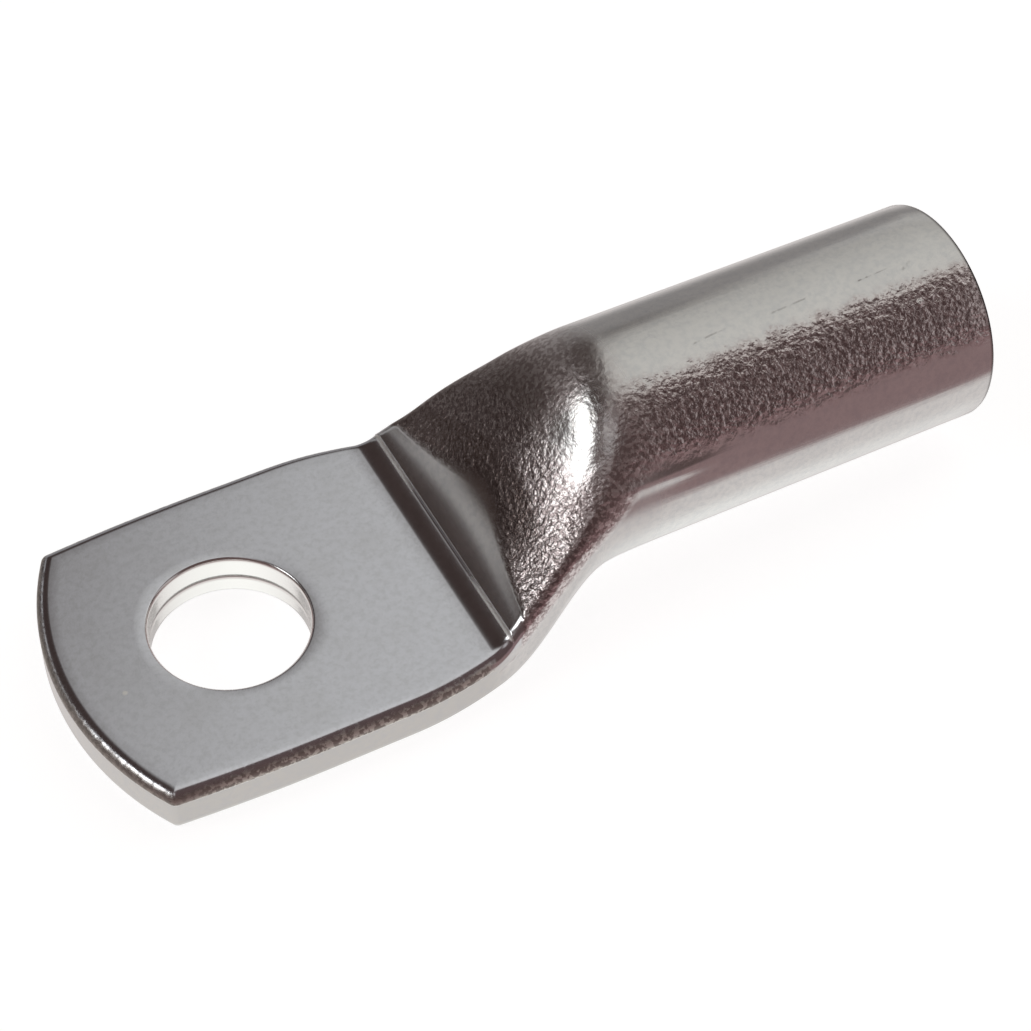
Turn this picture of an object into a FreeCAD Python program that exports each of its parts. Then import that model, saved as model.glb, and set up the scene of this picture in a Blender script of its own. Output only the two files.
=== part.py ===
import FreeCAD, Part
import math
import os

# Tubular cable lug, pressed from one length of seamless copper tube and tin plated.
# Units are millimetres and degrees. The origin is the centre of the stud hole on the palm's underside.
# +X runs along the lug to the open end of the barrel, and +Z is up, out of the palm.

# Tube that the lug is made from
tube_diameter = 19.0
bore_diameter = 13.5
open_end_x = 66.0
open_end_outer_break = 0.3
open_end_bore_chamfer = 0.6

# Palm, coined flat over the closed tube
palm_width = 28.0
palm_thickness = 4.1
palm_end_x = -14.5
palm_end_arc_radius = 25.4
palm_side_bow = 0.55
palm_flat_end_x = 17.2
widest_from_x = 3.0
underside_edge_radius = 0.5
top_edge_radius = 1.05

# Stud hole
stud_hole_diameter = 13.0
stud_hole_edge_break = 0.3

# Pressed transition, where the lug narrows and rises from the palm to the barrel
barrel_start_x = 33.8
coined_depth = 1.45
narrowing_start_x = 9.6
rise_start_x = 17.4
rise_rounding_share = 0.32
crown_start_x = 19.2
crown_tightness = 1.3
flat_crown_radius = 336.0
shoulder_radius = 1.3
shoulder_tightness = 3.5
underside_rounding_start_x = 15.7
underside_rounding_end_x = 29.8
underside_tightness = 1.65

# Inclined face that the upper die leaves above the palm, at angles up from the palm
heel_radius = 3.05
heel_start_angle = 8.0
heel_end_angle = 45.0
step_length = 0.16
step_angle = 70.0
die_face_radius = 16.0
die_face_foot_angle = 35.0
die_face_top_angle = 78.0

# Hollow inside the transition. Its corners are shares of its height, at the mouth of the closed slit
# and where it meets the round bore
slit_height = 1.0
slit_corner_share = 0.3
bore_corner_share = 0.49

# Spacing of the outlines that the neck and the transition are drawn through, and their fewest
neck_outline_spacing = 2.6
rise_outline_spacing = 1.6
fewest_outline_steps = 3

# Straight run that is left between two rounded corners, and the angle at which round outlines are parted
straight_share = 0.02
crown_join_angle = 32.0

# Number of steps in each arc of the upper die
die_steps = 6

# Places closer than this count as the same
near_enough = 0.01

# Sizes that follow from the ones above
tube_radius = tube_diameter / 2
bore_radius = bore_diameter / 2
wall = tube_radius - bore_radius
palm_end_half_width = palm_width / 2 - palm_side_bow
stud_hole_radius = stud_hole_diameter / 2
pressed_height = palm_thickness + coined_depth
clear = 2 * tube_diameter


def ease(start, end, x):
    """Smooth step from 0 at start to 1 at end, level at both."""
    share = min(1.0, max(0.0, (x - start) / (end - start)))
    return (1 - math.cos(math.pi * share)) / 2


def ramp(start, end, x):
    """Straight ramp from 0 at start to 1 at end, with both of its ends rounded off."""
    share = min(1.0, max(0.0, (x - start) / (end - start)))
    slope = 1 / (1 - rise_rounding_share)
    if share < rise_rounding_share:
        return slope * share**2 / (2 * rise_rounding_share)
    if share > 1 - rise_rounding_share:
        return 1 - slope * (1 - share) ** 2 / (2 * rise_rounding_share)
    return slope * (share - rise_rounding_share / 2)


def outer_height(x):
    """Height of the pressed tube over its flat underside."""
    return pressed_height + (tube_diameter - pressed_height) * ramp(rise_start_x, barrel_start_x, x)


def half_width(x):
    """Half of the lug's width, seen from above, from the palm's neck to the barrel."""
    return palm_width / 2 + (tube_radius - palm_width / 2) * ease(narrowing_start_x, barrel_start_x, x)


def arc(centre_y, centre_z, radius, start_angle, end_angle, x):
    """Arc across the lug at x, with its angles from +Y towards +Z."""
    points = []
    for angle in (start_angle, (start_angle + end_angle) / 2, end_angle):
        turn = math.radians(angle)
        y = centre_y + radius * math.cos(turn)
        z = centre_z + radius * math.sin(turn)
        points.append(FreeCAD.Vector(x, y, z))
    return Part.Arc(*points).toShape()


def line(y1, z1, y2, z2, x):
    """Straight edge across the lug at x."""
    return Part.LineSegment(FreeCAD.Vector(x, y1, z1), FreeCAD.Vector(x, y2, z2)).toShape()


def pressed_outline(x, half, bottom, height, shoulder, underside, crown):
    """Closed outline with a flat bottom, upright sides, rounded corners and a crowned top."""
    reach = half - shoulder
    crown_z = bottom + height - crown
    shoulder_z = crown_z + math.sqrt((crown - shoulder) ** 2 - reach**2)
    lean = math.degrees(math.atan2(shoulder_z - crown_z, reach))
    most = 1 - straight_share
    rounding = min(underside, most * (shoulder_z - bottom), most * half)
    side_z = bottom + rounding
    flat = half - rounding
    edges = [
        line(-flat, bottom, flat, bottom, x),
        arc(flat, side_z, rounding, -90, 0, x),
        line(half, side_z, half, shoulder_z, x),
        arc(reach, shoulder_z, shoulder, 0, lean, x),
        arc(0, crown_z, crown, lean, 180 - lean, x),
        arc(-reach, shoulder_z, shoulder, 180 - lean, 180, x),
        line(-half, shoulder_z, -half, side_z, x),
        arc(-flat, side_z, rounding, 180, 270, x),
    ]
    return Part.Wire(edges)


def round_outline(x, radius):
    """Circle about the barrel's axis, parted where a pressed outline has its joins."""
    straight = math.degrees(math.asin(straight_share))
    crown_from = crown_join_angle
    joins = [-90 - straight, -90 + straight, -straight, 0]
    joins += [crown_from, 180 - crown_from, 180, 180 + straight, 270 - straight]
    edges = []
    for start_angle, end_angle in zip(joins, joins[1:]):
        edges.append(arc(0, tube_radius, radius, start_angle, end_angle, x))
    return Part.Wire(edges)


def crown_at(x, round_radius):
    """Radius of the top's crown, from nearly flat over the palm to the round tube."""
    share = ease(crown_start_x, barrel_start_x, x) ** crown_tightness
    return 1 / (share / round_radius + (1 - share) / flat_crown_radius)


def outer_outline(x):
    share = ease(crown_start_x, barrel_start_x, x)
    shoulder = shoulder_radius + (tube_radius - shoulder_radius) * share**shoulder_tightness
    lower = ease(underside_rounding_start_x, underside_rounding_end_x, x)
    underside = underside_edge_radius + (tube_radius - underside_edge_radius) * lower**underside_tightness
    crown = crown_at(x, tube_radius)
    return pressed_outline(x, half_width(x), 0, outer_height(x), shoulder, underside, crown)


def inner_outline(x):
    """The tube's hollow, which closes with the rise until its two walls meet."""
    height = bore_diameter * ramp(rise_start_x, barrel_start_x, x)
    share = ease(crown_start_x, barrel_start_x, x)
    corner = height * (slit_corner_share + (bore_corner_share - slit_corner_share) * share)
    bottom = (outer_height(x) - height) / 2
    crown = crown_at(x, bore_radius)
    return pressed_outline(x, half_width(x) - wall, bottom, height, corner, corner, crown)


def loft_along(outline, start_x, end_x, spacing, last_outline, ruled=False):
    """Solid through outlines at even steps, ending in the last outline. It is smooth unless it is ruled."""
    steps = max(fewest_outline_steps, round((end_x - start_x) / spacing))
    outlines = []
    for step in range(steps):
        outlines.append(outline(start_x + (end_x - start_x) * step / steps))
    return Part.makeLoft(outlines + [last_outline], True, ruled)


def tube_length(radius, start_x, end_x):
    axis_start = FreeCAD.Vector(start_x, 0, tube_radius)
    return Part.makeCylinder(radius, end_x - start_x, axis_start, FreeCAD.Vector(1, 0, 0))


def bowed_side(side):
    """Arc from the palm's end corner to where its side runs straight, on the +Y or the -Y side."""
    end_depth = palm_end_arc_radius - math.sqrt(palm_end_arc_radius**2 - palm_end_half_width**2)
    corner_x = palm_end_x + end_depth
    length = widest_from_x - corner_x
    radius = (length**2 + palm_side_bow**2) / (2 * palm_side_bow)
    turn = math.asin(length / radius)
    points = []
    for angle in (turn, turn / 2, 0):
        sunk = radius * (1 - math.cos(angle))
        x = widest_from_x - radius * math.sin(angle)
        points.append(FreeCAD.Vector(x, side * (palm_width / 2 - sunk), 0))
    return Part.Arc(*points).toShape(), points[0]


def rim(plate, height):
    """Edges of the palm at one height, without the one where the neck joins on."""
    found = []
    for edge in plate.Edges:
        level = all(abs(vertex.Z - height) < near_enough for vertex in edge.Vertexes)
        if level and edge.CenterOfMass.x < narrowing_start_x - near_enough:
            found.append(edge)
    return found


def palm():
    """Flat plate with a bowed end and slightly bowed sides. Its upper edges are rounded most."""
    half = palm_width / 2
    far_side, far_corner = bowed_side(1)
    near_side, near_corner = bowed_side(-1)
    end = Part.Arc(far_corner, FreeCAD.Vector(palm_end_x, 0, 0), near_corner).toShape()
    far_from = FreeCAD.Vector(widest_from_x, half, 0)
    far_to = FreeCAD.Vector(narrowing_start_x, half, 0)
    near_from = FreeCAD.Vector(widest_from_x, -half, 0)
    near_to = FreeCAD.Vector(narrowing_start_x, -half, 0)
    edges = [
        end,
        near_side,
        Part.LineSegment(near_from, near_to).toShape(),
        Part.LineSegment(near_to, far_to).toShape(),
        Part.LineSegment(far_to, far_from).toShape(),
        far_side,
    ]
    plate = Part.Face(Part.Wire(edges)).extrude(FreeCAD.Vector(0, 0, palm_thickness))
    plate = plate.makeFillet(top_edge_radius, rim(plate, palm_thickness))
    return plate.makeFillet(underside_edge_radius, rim(plate, 0))


def palm_outline(x):
    """Section of the palm, with a flat top and bottom and rounded edges."""
    half = half_width(x)
    upper = half - top_edge_radius
    upper_z = palm_thickness - top_edge_radius
    lower = half - underside_edge_radius
    lower_z = underside_edge_radius
    edges = [
        line(-lower, 0, lower, 0, x),
        arc(lower, lower_z, underside_edge_radius, -90, 0, x),
        line(half, lower_z, half, upper_z, x),
        arc(upper, upper_z, top_edge_radius, 0, 90, x),
        line(upper, palm_thickness, -upper, palm_thickness, x),
        arc(-upper, upper_z, top_edge_radius, 90, 180, x),
        line(-half, upper_z, -half, lower_z, x),
        arc(-lower, lower_z, underside_edge_radius, 180, 270, x),
    ]
    return Part.Wire(edges)


def palm_neck():
    """The palm's last stretch, where its sides start to draw in."""
    last = palm_outline(palm_flat_end_x)
    return loft_along(palm_outline, narrowing_start_x, palm_flat_end_x, neck_outline_spacing, last)


def pressed_transition():
    """The tube as it rises from the palm to the round barrel, cut by the upper die."""
    round_end = round_outline(barrel_start_x, tube_radius)
    rise = loft_along(outer_outline, palm_flat_end_x, barrel_start_x, rise_outline_spacing, round_end)
    return rise.cut(upper_die())


def hollow():
    """Round bore from the open end, narrowing in straight runs to the mouth of the closed slit."""
    slit_x = rise_start_x
    while bore_diameter * ramp(rise_start_x, barrel_start_x, slit_x) < slit_height:
        slit_x += near_enough
    round_end = round_outline(barrel_start_x, bore_radius)
    narrowing = loft_along(inner_outline, slit_x, barrel_start_x, rise_outline_spacing, round_end, True)
    return narrowing.fuse(tube_length(bore_radius, barrel_start_x, open_end_x + wall))


def die_outline(x, z):
    """Space above the lug at x, down to height z, with the long edges rounded."""
    radius = top_edge_radius
    low = z - radius
    turn = half_width(x) - radius
    edges = [
        line(-clear, low, -turn - radius, low, x),
        arc(-turn, low, radius, 180, 90, x),
        line(-turn, z, turn, z, x),
        arc(turn, low, radius, 90, 0, x),
        line(turn + radius, low, clear, low, x),
        line(clear, low, clear, clear, x),
        line(clear, clear, -clear, clear, x),
        line(-clear, clear, -clear, low, x),
    ]
    return Part.Wire(edges)


def rising_arc(x, z, radius, start_angle, end_angle):
    """Points up a hollow arc that starts at x and z, its slope growing from one angle to the other."""
    points = []
    for step in range(die_steps + 1):
        angle = math.radians(start_angle + (end_angle - start_angle) * step / die_steps)
        along = radius * (math.sin(angle) - math.sin(math.radians(start_angle)))
        up = radius * (math.cos(math.radians(start_angle)) - math.cos(angle))
        points.append((x + along, z + up))
    return points


def upper_die():
    """The die that coins the inclined face, in three runs: hollow heel, small step and steep hollow face."""
    heel_run = rising_arc(palm_flat_end_x, palm_thickness, heel_radius, heel_start_angle, heel_end_angle)
    heel_x, heel_z = heel_run[-1]
    foot_x = heel_x + step_length * math.cos(math.radians(step_angle))
    foot_z = heel_z + step_length * math.sin(math.radians(step_angle))
    face_run = rising_arc(foot_x, foot_z, die_face_radius, die_face_foot_angle, die_face_top_angle)
    runs = []
    for points in (heel_run, [(heel_x, heel_z), (foot_x, foot_z)], face_run):
        runs.append(Part.makeLoft([die_outline(x, z) for x, z in points], True, False))
    return runs


def stud_hole():
    """Round hole through the palm, with both of its edges broken."""
    up = FreeCAD.Vector(0, 0, 1)
    mouth_radius = stud_hole_radius + 2 * stud_hole_edge_break
    mouth_height = 2 * stud_hole_edge_break
    below = FreeCAD.Vector(0, 0, -clear)
    lower_start = FreeCAD.Vector(0, 0, -stud_hole_edge_break)
    upper_start = FreeCAD.Vector(0, 0, palm_thickness - stud_hole_edge_break)
    drill = Part.makeCylinder(stud_hole_radius, 2 * clear, below, up)
    lower_break = Part.makeCone(mouth_radius, stud_hole_radius, mouth_height, lower_start, up)
    upper_break = Part.makeCone(stud_hole_radius, mouth_radius, mouth_height, upper_start, up)
    return drill.fuse([lower_break, upper_break])


def at_open_end(edge, radius):
    """Whether the edge is the circle of this radius round the barrel's open end."""
    at_end = abs(edge.CenterOfMass.x - open_end_x) < near_enough
    return at_end and abs(edge.Length - 2 * math.pi * radius) < near_enough


def cable_lug():
    barrel = tube_length(tube_radius, barrel_start_x, open_end_x)
    lug = palm().fuse([palm_neck(), pressed_transition(), barrel])
    lug = lug.cut(hollow()).cut(stud_hole())
    outer_edge = [edge for edge in lug.Edges if at_open_end(edge, tube_radius)]
    lug = lug.makeChamfer(open_end_outer_break, outer_edge)
    bore_edge = [edge for edge in lug.Edges if at_open_end(edge, bore_radius)]
    return lug.makeChamfer(open_end_bore_chamfer, bore_edge)


if __name__ == "__main__":
    os.makedirs("parts", exist_ok=True)
    lug = cable_lug()
    if not lug.isValid() or len(lug.Solids) != 1:
        raise ValueError("the lug is not one valid solid")
    lug.exportStep("parts/cable_lug.step")
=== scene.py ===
import math

import bpy
import numpy as np
from mathutils import Matrix


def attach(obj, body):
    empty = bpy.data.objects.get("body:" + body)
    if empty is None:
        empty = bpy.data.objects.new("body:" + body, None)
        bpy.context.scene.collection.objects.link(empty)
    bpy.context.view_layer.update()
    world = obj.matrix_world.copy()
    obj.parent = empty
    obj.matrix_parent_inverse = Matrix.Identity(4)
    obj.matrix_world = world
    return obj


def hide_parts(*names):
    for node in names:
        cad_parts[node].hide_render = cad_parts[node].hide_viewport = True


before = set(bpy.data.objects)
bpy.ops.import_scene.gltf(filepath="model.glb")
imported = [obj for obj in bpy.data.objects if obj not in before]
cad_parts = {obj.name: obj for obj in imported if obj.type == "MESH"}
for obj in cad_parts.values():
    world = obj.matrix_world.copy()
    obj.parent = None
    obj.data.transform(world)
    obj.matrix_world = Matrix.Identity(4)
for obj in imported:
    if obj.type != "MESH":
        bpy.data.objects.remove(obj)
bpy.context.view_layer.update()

scene = bpy.context.scene
MM = 0.001
DEGREES = 180 / math.pi

# Sizes of the lug in millimetres and angles in radians, the same as in the part's source
TUBE_RADIUS = 9.5
BORE_RADIUS = 6.75
WALL = TUBE_RADIUS - BORE_RADIUS
OPEN_END_X = 66.0
OPEN_END_BREAK = 0.3
BORE_CHAMFER = 0.6
PALM_HALF = 14.0
PALM_THICKNESS = 4.1
PALM_END_X = -14.5
PALM_END_RADIUS = 25.4
PALM_END_HALF = 13.45
PALM_FLAT_END_X = 17.2
WIDEST_FROM_X = 3.0
UNDERSIDE_RADIUS = 0.5
TOP_RADIUS = 1.05
HOLE_RADIUS = 6.5
HOLE_BREAK = 0.3
BARREL_START_X = 33.8
PRESSED_HEIGHT = 5.55
NARROWING_START_X = 9.6
RISE_START_X = 17.4
RISE_ROUNDING = 0.32
CROWN_START_X = 19.2
CROWN_TIGHTNESS = 1.3
FLAT_CROWN_RADIUS = 24 * PALM_HALF
SHOULDER_RADIUS = 1.3
SHOULDER_TIGHTNESS = 3.5
UNDERSIDE_END_X = 29.8
UNDERSIDE_TIGHTNESS = 1.3
STRAIGHT_SHARE = 0.02
HEEL_RADIUS = 3.05
HEEL_ANGLES = (math.radians(8.0), math.radians(45.0))
STEP_LENGTH = 0.16
STEP_ANGLE = math.radians(70.0)
FACE_RADIUS = 16.0
FACE_ANGLES = (math.radians(35.0), math.radians(78.0))

# Details that are finer than the part's source
CORNER_RADIUS = 0.35
LEAST_CORNER_RADIUS = 0.06
SEAM_Z = 1.85
SEAM_DEPTH = 0.14
SEAM_HALF_WIDTH = 0.1
FACE_EDGE_ROUNDING = 0.25
FACE_EDGE_EASE = 2.5
FACE_HOLLOW = 0.08
BREAK_MIDDLE = (0.1, 0.06)

# Where the hollow is closed, near the mouth of the slit in the part's source
HOLLOW_END_X = 20.4

# Numbers of points and steps in the fine mesh, and where its spacing changes
TOP_SAMPLES = 900
BEND_SAMPLES = 200
EDGE_SAMPLES = 120
TOP_COUNT = 80
SIDE_COUNT = 40
SIDE_STEPS = 30
CORNER_STEPS = 6
END_STEPS = 70
PLANE_STEPS = 9
RIM_STEPS = 5
WALL_STEPS = 24
HEEL_STEPS = 12
FACE_STEPS = 65
CROWN_STEPS = 23
BARREL_STEPS = 16
BORE_STEPS = 9
HOLLOW_STEPS = 19
CORNER_ROUNDS = 30
FACE_STEPS_END_X = 27.0
EVEN_SPACING_X = 28.0
BARREL_TOP_SHARE = 0.375
HEM_WIDTH = 0.1
TINY = 1e-6
SAME_POINT = 1e-7
SEAM_DECIMALS = 5
STATION_DECIMALS = 4

# Limits of the two attributes that the material reads
MARGIN_LIMIT = 2.0
MARGIN_END_X = 30.0
MARGIN_FROM_SHARE = 0.55
EDGE_BELOW_TOP = 0.02
EDGE_FROM_HOLE = 1.0


def ease(start, end, x):
    """Smooth step from 0 at start to 1 at end."""
    share = min(1.0, max(0.0, (x - start) / (end - start)))
    return (1 - math.cos(math.pi * share)) / 2


def ramp(start, end, x):
    """Straight ramp from 0 to 1 with both ends rounded off."""
    share = min(1.0, max(0.0, (x - start) / (end - start)))
    slope = 1 / (1 - RISE_ROUNDING)
    if share < RISE_ROUNDING:
        return slope * share**2 / (2 * RISE_ROUNDING)
    if share > 1 - RISE_ROUNDING:
        return 1 - slope * (1 - share) ** 2 / (2 * RISE_ROUNDING)
    return slope * (share - RISE_ROUNDING / 2)


def half_width(x):
    narrowed = ease(NARROWING_START_X, BARREL_START_X, x)
    return PALM_HALF + (TUBE_RADIUS - PALM_HALF) * narrowed


def arc_size(radius, angles):
    """Length along x and height of an arc between two angles."""
    run = radius * (math.sin(angles[1]) - math.sin(angles[0]))
    return run, radius * (math.cos(angles[0]) - math.cos(angles[1]))


HEEL_RUN, HEEL_RISE = arc_size(HEEL_RADIUS, HEEL_ANGLES)
HEEL_END_X = PALM_FLAT_END_X + HEEL_RUN
HEEL_END_Z = PALM_THICKNESS + HEEL_RISE
FACE_START_X = HEEL_END_X + STEP_LENGTH * math.cos(STEP_ANGLE)
FACE_START_Z = HEEL_END_Z + STEP_LENGTH * math.sin(STEP_ANGLE)
FACE_END_X = FACE_START_X + arc_size(FACE_RADIUS, FACE_ANGLES)[0]


def arc_height(x, start_x, start_z, radius, start_angle):
    centre_x = start_x - radius * math.sin(start_angle)
    centre_z = start_z + radius * math.cos(start_angle)
    return centre_z - math.sqrt(max(0.0, radius**2 - (x - centre_x) ** 2))


def die_height(x):
    """Height that the upper die leaves at x."""
    if x <= PALM_FLAT_END_X:
        return PALM_THICKNESS
    if x <= HEEL_END_X:
        return arc_height(x, PALM_FLAT_END_X, PALM_THICKNESS, HEEL_RADIUS, HEEL_ANGLES[0])
    if x <= FACE_START_X:
        return HEEL_END_Z + (x - HEEL_END_X) * math.tan(STEP_ANGLE)
    on_face = min(x, FACE_END_X)
    top_z = arc_height(on_face, FACE_START_X, FACE_START_Z, FACE_RADIUS, FACE_ANGLES[0])
    return top_z + max(0.0, x - FACE_END_X) * math.tan(FACE_ANGLES[1])


def section_shape(x):
    """Half width, height, crown, shoulder and underside radius of the pressed tube at x."""
    risen = ramp(RISE_START_X, BARREL_START_X, x)
    height = PRESSED_HEIGHT + (2 * TUBE_RADIUS - PRESSED_HEIGHT) * risen
    share = ease(CROWN_START_X, BARREL_START_X, x)
    crowned = share**CROWN_TIGHTNESS
    crown = 1 / (crowned / TUBE_RADIUS + (1 - crowned) / FLAT_CROWN_RADIUS)
    shoulder = SHOULDER_RADIUS + (TUBE_RADIUS - SHOULDER_RADIUS) * share**SHOULDER_TIGHTNESS
    lower = ease(PALM_FLAT_END_X, UNDERSIDE_END_X, x) ** UNDERSIDE_TIGHTNESS
    underside = UNDERSIDE_RADIUS + (TUBE_RADIUS - UNDERSIDE_RADIUS) * lower
    return half_width(x), height, crown, shoulder, underside


def natural_top(y, x):
    """Height of the pressed tube's top at y, before the die, and the height of its shoulder."""
    half, height, crown, shoulder, _ = section_shape(x)
    reach = half - shoulder
    crown_z = height - crown
    shoulder_z = crown_z + math.sqrt(max(0.0, (crown - shoulder) ** 2 - reach**2))
    on_crown = crown_z + np.sqrt(np.maximum(crown**2 - y**2, 0.0))
    if crown - shoulder < TINY:
        return on_crown, crown_z
    lean = math.atan2(shoulder_z - crown_z, max(reach, TINY))
    on_shoulder = shoulder_z + np.sqrt(np.maximum(shoulder**2 - (y - reach) ** 2, 0.0))
    return np.where(y <= crown * math.cos(lean), on_crown, on_shoulder), shoulder_z


def die_top(y, x):
    """Height that the die leaves at y: a little hollow across, and rounded down to the sides."""
    corner = np.clip(y - (half_width(x) - TOP_RADIUS), 0.0, TOP_RADIUS)
    hollow = FACE_HOLLOW * max(0.0, x - FACE_START_X) ** 2 * (y / PALM_HALF) ** 2
    return die_height(x) + hollow - TOP_RADIUS + np.sqrt(TOP_RADIUS**2 - corner**2)


def smooth_least(a, b, width):
    """The lesser of two heights, with the corner between them rounded over this width."""
    near = np.maximum(width - np.abs(a - b), 0.0) / width
    return np.minimum(a, b) - near * near * width / 4


def along(points):
    """Length of a line of points up to each of them."""
    return np.concatenate([[0.0], np.cumsum(np.hypot(*np.diff(points, axis=0).T))])


def pick(points, places):
    """Points of a line at these lengths along it."""
    length = along(points)
    return np.stack([np.interp(places, length, points[:, i]) for i in (0, 1)], axis=1)


def half_section(x):
    """Half of the outer section at x, from the middle of its top to the middle of its bottom.

    Gives the points and the radius of the lower corner.
    """
    half, _, _, _, underside = section_shape(x)
    y = half * np.sin(np.linspace(0.0, math.pi / 2, TOP_SAMPLES))
    top, shoulder_z = natural_top(y, x)
    width = FACE_EDGE_ROUNDING * ease(PALM_FLAT_END_X, PALM_FLAT_END_X + FACE_EDGE_EASE, x)
    top = smooth_least(top, die_top(y, x), width + TINY)
    most = 1 - STRAIGHT_SHARE
    corner = min(underside, most * shoulder_z, most * half, top[-1])
    bend = np.linspace(0.0, math.pi / 2, BEND_SAMPLES)
    low = [half - corner + corner * np.cos(bend), corner - corner * np.sin(bend)]
    points = np.concatenate([np.stack([y, top], axis=1), np.stack(low, axis=1), [[0.0, 0.0]]])
    keep = np.hypot(*np.diff(points, axis=0).T) > SAME_POINT
    return points[np.concatenate([[True], keep])], corner


def section(x):
    """Half section at x in runs of even steps: top, side and bottom."""
    points, _ = half_section(x)
    palm_points, palm_corner = half_section(PALM_FLAT_END_X)
    palm_total = along(palm_points)[-1]
    palm_half = half_width(PALM_FLAT_END_X)
    share = ease(PALM_FLAT_END_X, EVEN_SPACING_X, x)
    palm_first = (palm_half - TOP_RADIUS) / palm_total
    palm_last = 1 - (palm_half - palm_corner) / palm_total
    first = palm_first * (1 - share) + BARREL_TOP_SHARE * share
    last = palm_last * (1 - share) + (1 - BARREL_TOP_SHARE) * share
    places = np.concatenate([
        np.linspace(0.0, first, TOP_COUNT + 1),
        np.linspace(first, last, SIDE_COUNT + 1)[1:],
        np.linspace(last, 1.0, TOP_COUNT + 1)[1:],
    ])
    return pick(points, places * along(points)[-1])


def loop(x, half_points):
    """Closed section in space from a half section, down the +Y side and up the -Y side."""
    right = np.column_stack([np.full(len(half_points), x), half_points])
    left = right[-2:0:-1].copy()
    left[:, 1] *= -1
    return np.concatenate([right, left])


class Shell:
    """Collects grids of points that share their seams."""

    def __init__(self):
        self.points = []
        self.faces = []

    def grid(self, rows, closed=False):
        rows = np.array(rows)
        start = sum(len(points) for points in self.points)
        count, width = rows.shape[:2]
        self.points.append(rows.reshape(-1, 3))
        index = start + np.arange(count * width).reshape(count, width)
        if closed:
            index = np.concatenate([index, index[:, :1]], axis=1)
        corners = (index[:-1, :-1], index[1:, :-1], index[1:, 1:], index[:-1, 1:])
        self.faces.append(np.stack([corner.ravel() for corner in corners], axis=1))

    def joined(self):
        """Points and faces, with the points of the seams merged and empty faces left out."""
        points = np.concatenate(self.points)
        faces = np.concatenate(self.faces)
        rounded = np.round(points, SEAM_DECIMALS)
        _, first, back = np.unique(rounded, axis=0, return_index=True, return_inverse=True)
        faces = back.reshape(-1)[faces]
        rings = []
        for face in faces.tolist():
            ring = [face[i] for i in range(4) if face[i] != face[i - 1]]
            if len(set(ring)) == len(ring) and len(ring) > 2:
                rings.append(ring)
        return points[first], rings


def corner_x():
    """Where the palm's end meets its sides."""
    return PALM_END_X + PALM_END_RADIUS - math.sqrt(PALM_END_RADIUS**2 - PALM_END_HALF**2)


def palm_side(x):
    """Half width of the palm at x, with the bow towards its end."""
    inset = PALM_HALF - PALM_END_HALF
    length = WIDEST_FROM_X - corner_x()
    radius = (length**2 + inset**2) / (2 * inset)
    return half_width(x) - radius + math.sqrt(radius**2 - max(0.0, WIDEST_FROM_X - x) ** 2)


def end_corner(inset):
    """Corner where the end's arc and the side meet, both set in by this much."""
    x = corner_x()
    for _ in range(CORNER_ROUNDS):
        reach = (PALM_END_RADIUS - inset) ** 2 - (palm_side(x) - inset) ** 2
        x = PALM_END_X + PALM_END_RADIUS - math.sqrt(reach)
    return np.array([x, palm_side(x) - inset])


def palm_edge(inset):
    """The palm's plan outline set in by this much, from the neck round the +Y side and the end."""
    corner = end_corner(inset)
    rounding = max(LEAST_CORNER_RADIUS, CORNER_RADIUS - inset)
    side = []
    for x in np.linspace(PALM_FLAT_END_X, corner[0] + rounding, SIDE_STEPS + 1):
        side.append(np.array([x, palm_side(x) - inset]))
    radius = PALM_END_RADIUS - inset
    centre_x = PALM_END_X + PALM_END_RADIUS
    turn = math.asin(corner[1] / radius) - rounding / radius
    end = []
    for angle in np.linspace(turn, -turn, END_STEPS + 1):
        end.append(np.array([centre_x - radius * math.cos(angle), radius * math.sin(angle)]))
    bend = []
    for share in np.linspace(0, 1, CORNER_STEPS + 1)[1:-1]:
        rest = 1 - share
        bend.append(rest**2 * side[-1] + 2 * share * rest * corner + share**2 * end[0])
    half = side + bend
    return np.array(half + end + [point * [1, -1] for point in half[::-1]])


def edge_profile():
    """The palm's edge from top to bottom: how far out from the top's flat, and how high."""
    turn = np.linspace(0, math.pi / 2, EDGE_SAMPLES)
    bend, fall = np.cos(turn), np.sin(turn)
    upper = [TOP_RADIUS * fall, PALM_THICKNESS - TOP_RADIUS + TOP_RADIUS * bend]
    lower = [TOP_RADIUS - UNDERSIDE_RADIUS * (1 - bend), UNDERSIDE_RADIUS * (1 - fall)]
    points = np.concatenate([np.stack(upper, axis=1), np.stack(lower, axis=1)])
    return pick(points, np.linspace(0, along(points)[-1], SIDE_COUNT + 1))


def flat(shell, edge, line_y, z, radius):
    """One of the palm's flats, in rays from the hole's mouth to the edge.

    Gives the rays' directions.
    """
    line = np.column_stack([np.full(len(line_y), PALM_FLAT_END_X), line_y])
    outer = np.concatenate([edge, line[1:-1]])
    turn = np.arctan2(outer[:, 1], outer[:, 0])
    inner = radius * np.stack([np.cos(turn), np.sin(turn)], axis=1)
    rows = []
    for share in np.linspace(0, 1, PLANE_STEPS + 1):
        rows.append(np.column_stack([inner + (outer - inner) * share, np.full(len(outer), z)]))
    shell.grid(rows if z > 0 else rows[::-1], closed=True)
    return inner / radius


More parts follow.
